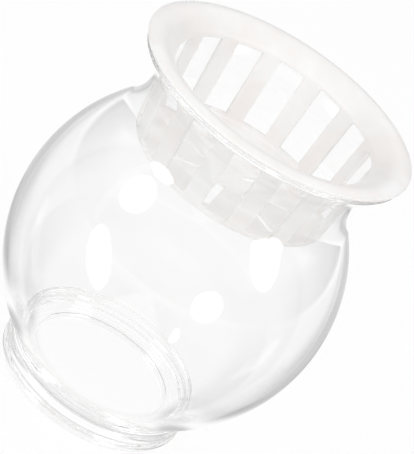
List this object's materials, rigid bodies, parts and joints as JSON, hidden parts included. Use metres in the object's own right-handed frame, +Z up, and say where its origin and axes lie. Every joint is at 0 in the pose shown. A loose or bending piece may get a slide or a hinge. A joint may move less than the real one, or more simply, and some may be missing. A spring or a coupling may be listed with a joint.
{
  "type": "hydroponic glass vase",
  "caption": "Clear glass globe vase with a ribbed foot and a flared neck, and a slotted white planting basket that hangs in the neck by its rim and lifts out.",
  "frame": {"origin": "centre of the ring that the foot stands on, on the surface it stands on", "axes": "+Z up along the vase's own axis; -Y towards the picture's camera, +X to its right"},
  "size_m": [0.12, 0.12, 0.1356],
  "materials": {
    "clear_glass": "clear soda-lime glass, blown smooth, with a fire-polished lip",
    "frosted_polypropylene": "translucent white polypropylene, moulded with a fine satin surface"
  },
  "bodies": {
    "vase": {"glass_vase": "clear_glass"},
    "basket": {"planting_basket": "frosted_polypropylene"}
  },
  "joints": [
    {"name": "basket_lift", "type": "slide", "parent": "vase", "child": "basket", "axis": [0, 0, 1], "range_m": [0, 0.045]}
  ]
}
